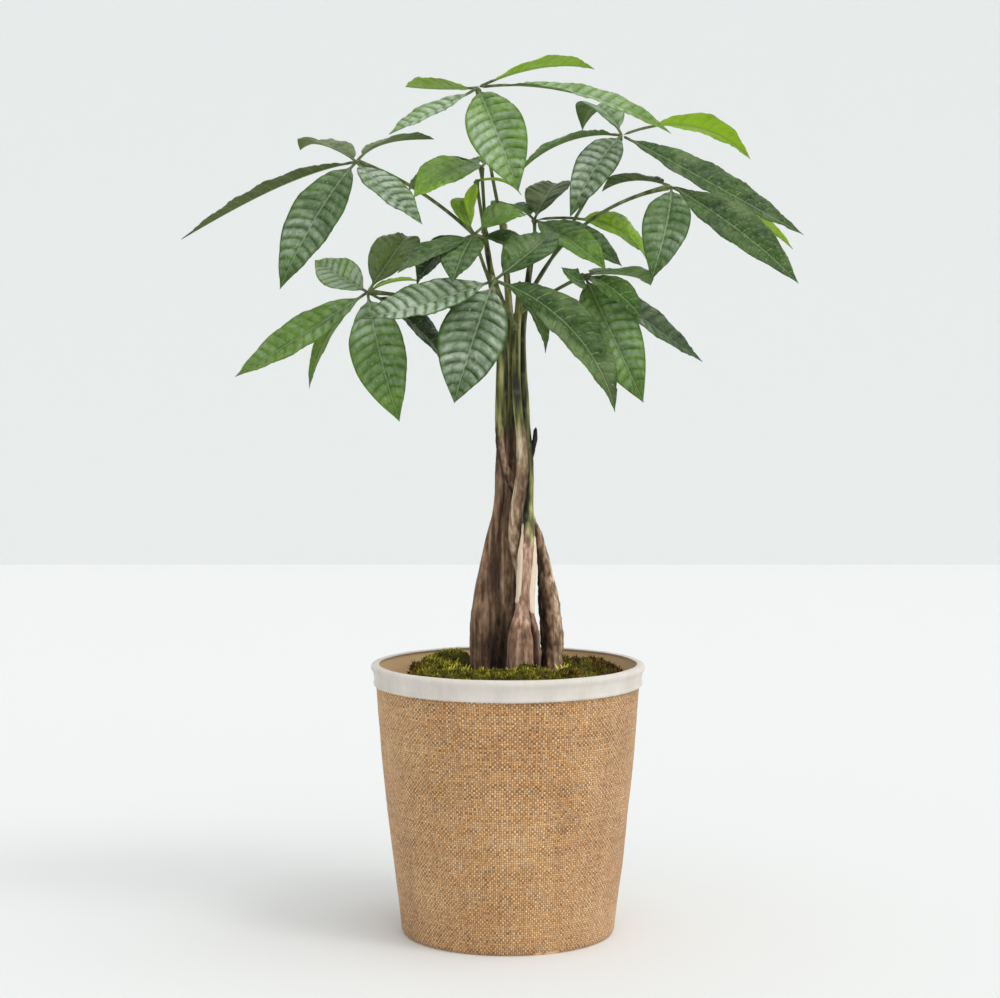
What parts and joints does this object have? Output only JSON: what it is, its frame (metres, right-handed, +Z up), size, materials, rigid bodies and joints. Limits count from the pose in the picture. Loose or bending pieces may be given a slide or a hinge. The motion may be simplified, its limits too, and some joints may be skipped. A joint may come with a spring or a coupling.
{
  "type": "potted money tree",
  "caption": "Braided-trunk house plant with palmate leaves, in a grower's pot inside a tapered burlap pot cover with a cotton rim band, moss over the soil.",
  "frame": {"origin": "centre of the pot cover's underside, on the surface that it stands on", "axes": "+Z up along the trunks, -Y towards the front view, +X to the right of the front view"},
  "size_m": [0.367, 0.164, 0.5277],
  "materials": {
    "burlap": "matte, coarse plain-weave jute",
    "cotton_band": "matte, fine cotton",
    "pot_plastic": "satin",
    "soil": "matte, moist peat mix",
    "moss": "matte, tufted",
    "bark": "matte, fissured bark below and smooth green stem above",
    "leaf": "satin, waxy leaf surface",
    "young_leaf": "satin, waxy leaf surface"
  },
  "bodies": {
    "root": {"burlap_wall": "burlap", "burlap_base": "burlap", "rim_band": "cotton_band", "nursery_pot": "pot_plastic", "potting_soil": "soil", "moss_front": "moss", "moss_right": "moss", "moss_back": "moss", "moss_left": "moss", "trunk_left": "bark", "trunk_middle": "bark", "trunk_front": "bark", "trunk_right": "bark", "trunk_rear": "bark", "leaf_far_left": "leaf", "leaf_top": "leaf", "leaf_upper_left": "leaf", "leaf_upper_right": "leaf", "leaf_far_right": "leaf", "leaf_centre_left": "leaf", "leaf_centre_right": "leaf", "leaf_front": "leaf", "leaf_lower_left": "leaf", "leaf_lower_right": "leaf", "leaf_young": "young_leaf"}
  },
  "joints": []
}
